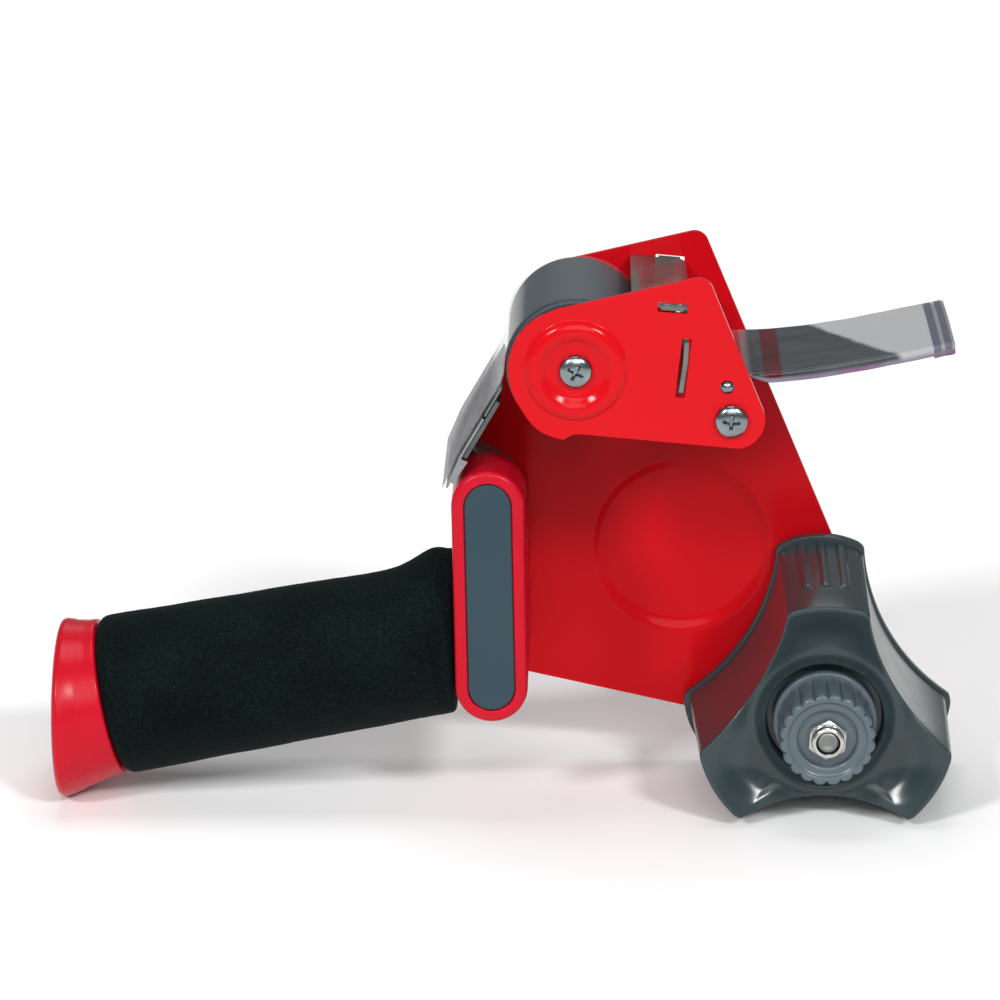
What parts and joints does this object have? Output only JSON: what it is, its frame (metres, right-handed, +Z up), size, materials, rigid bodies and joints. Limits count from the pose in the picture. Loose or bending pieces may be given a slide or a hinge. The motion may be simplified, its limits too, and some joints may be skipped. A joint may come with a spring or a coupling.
{
  "type": "tape gun dispenser",
  "caption": "Pistol-grip packing tape gun: painted steel side plates carry a rubber roller, tape guide, serrated cutter, foam grip and an armed core hub with a knob-set brake.",
  "frame": {"origin": "middle of the footprint on the surface that the gun stands on, touching with the pommel and one arm of the hub", "axes": "+X from the pommel to the hub, +Y from the near plate to the far plate, along the roller and hub axles, +Z up"},
  "size_m": [0.2562, 0.072, 0.1588],
  "materials": {
    "red_paint": "gloss powder coat",
    "red_plastic": "moulded, semi-gloss",
    "zinc_sheet": "bright zinc plated",
    "zinc_steel": "zinc plated, turned",
    "blade_steel": "ground spring steel",
    "nut_steel": "nickel bright",
    "roller_rubber": "matt",
    "core_plastic": "moulded",
    "hub_plastic": "moulded, gloss",
    "knob_plastic": "moulded, semi-gloss",
    "inlay_grey": "satin",
    "foam": "closed cell foam skin, matt",
    "fibre": "pressed fibre",
    "wiper_plastic": "satin",
    "clear_film": "clear packing tape film with a plain printed bar"
  },
  "bodies": {
    "frame": {"frame_plate": "red_paint", "near_plate": "red_paint", "axle_tube": "zinc_steel", "spacer_post": "zinc_steel", "axle_screw_near": "zinc_steel", "axle_screw_far": "zinc_steel", "post_screw_near": "zinc_steel", "post_screw_far": "zinc_steel", "handle_screw_top": "zinc_steel", "handle_screw_bottom": "zinc_steel", "guide_rod": "zinc_steel", "guide_plate": "zinc_sheet", "handle_body": "red_plastic", "pommel": "red_plastic", "grip_inlay": "inlay_grey", "foam_grip": "foam", "blade_bracket": "zinc_sheet", "bracket_screw": "zinc_steel", "serrated_blade": "blade_steel", "blade_rivet_near": "zinc_steel", "blade_rivet_far": "zinc_steel", "wiper_strip": "wiper_plastic", "hub_bolt": "zinc_steel", "friction_washer": "fibre", "tape_leader": "clear_film"},
    "roller": {"roller_tire": "roller_rubber", "roller_core": "core_plastic"},
    "hub": {"core_hub": "hub_plastic"},
    "brake": {"pressure_washer": "zinc_steel", "brake_spring": "blade_steel"},
    "knob": {"brake_knob": "knob_plastic", "lock_nut": "nut_steel"}
  },
  "joints": [
    {"name": "roller_spin", "type": "hinge", "parent": "frame", "child": "roller", "pos_m": [0.01992, 0, 0.13286], "axis": [0, 1, 0], "continuous": true},
    {"name": "hub_spin", "type": "hinge", "parent": "frame", "child": "hub", "pos_m": [0.08963, 0, 0.02949], "axis": [0, 1, 0], "continuous": true},
    {"name": "brake_travel", "type": "slide", "parent": "frame", "child": "brake", "axis": [0, 1, 0], "range_m": [-0.00102, 0.00102], "deforming": ["brake_spring"]},
    {"name": "knob_turn", "type": "hinge", "parent": "brake", "child": "knob", "pos_m": [0.08963, 0, 0.02949], "axis": [0, 1, 0], "range_deg": [-360, 360]}
  ],
  "couplings": [
    {"joint": "brake_travel", "follows": "knob_turn", "m_per_rad": 0.00015915}
  ]
}
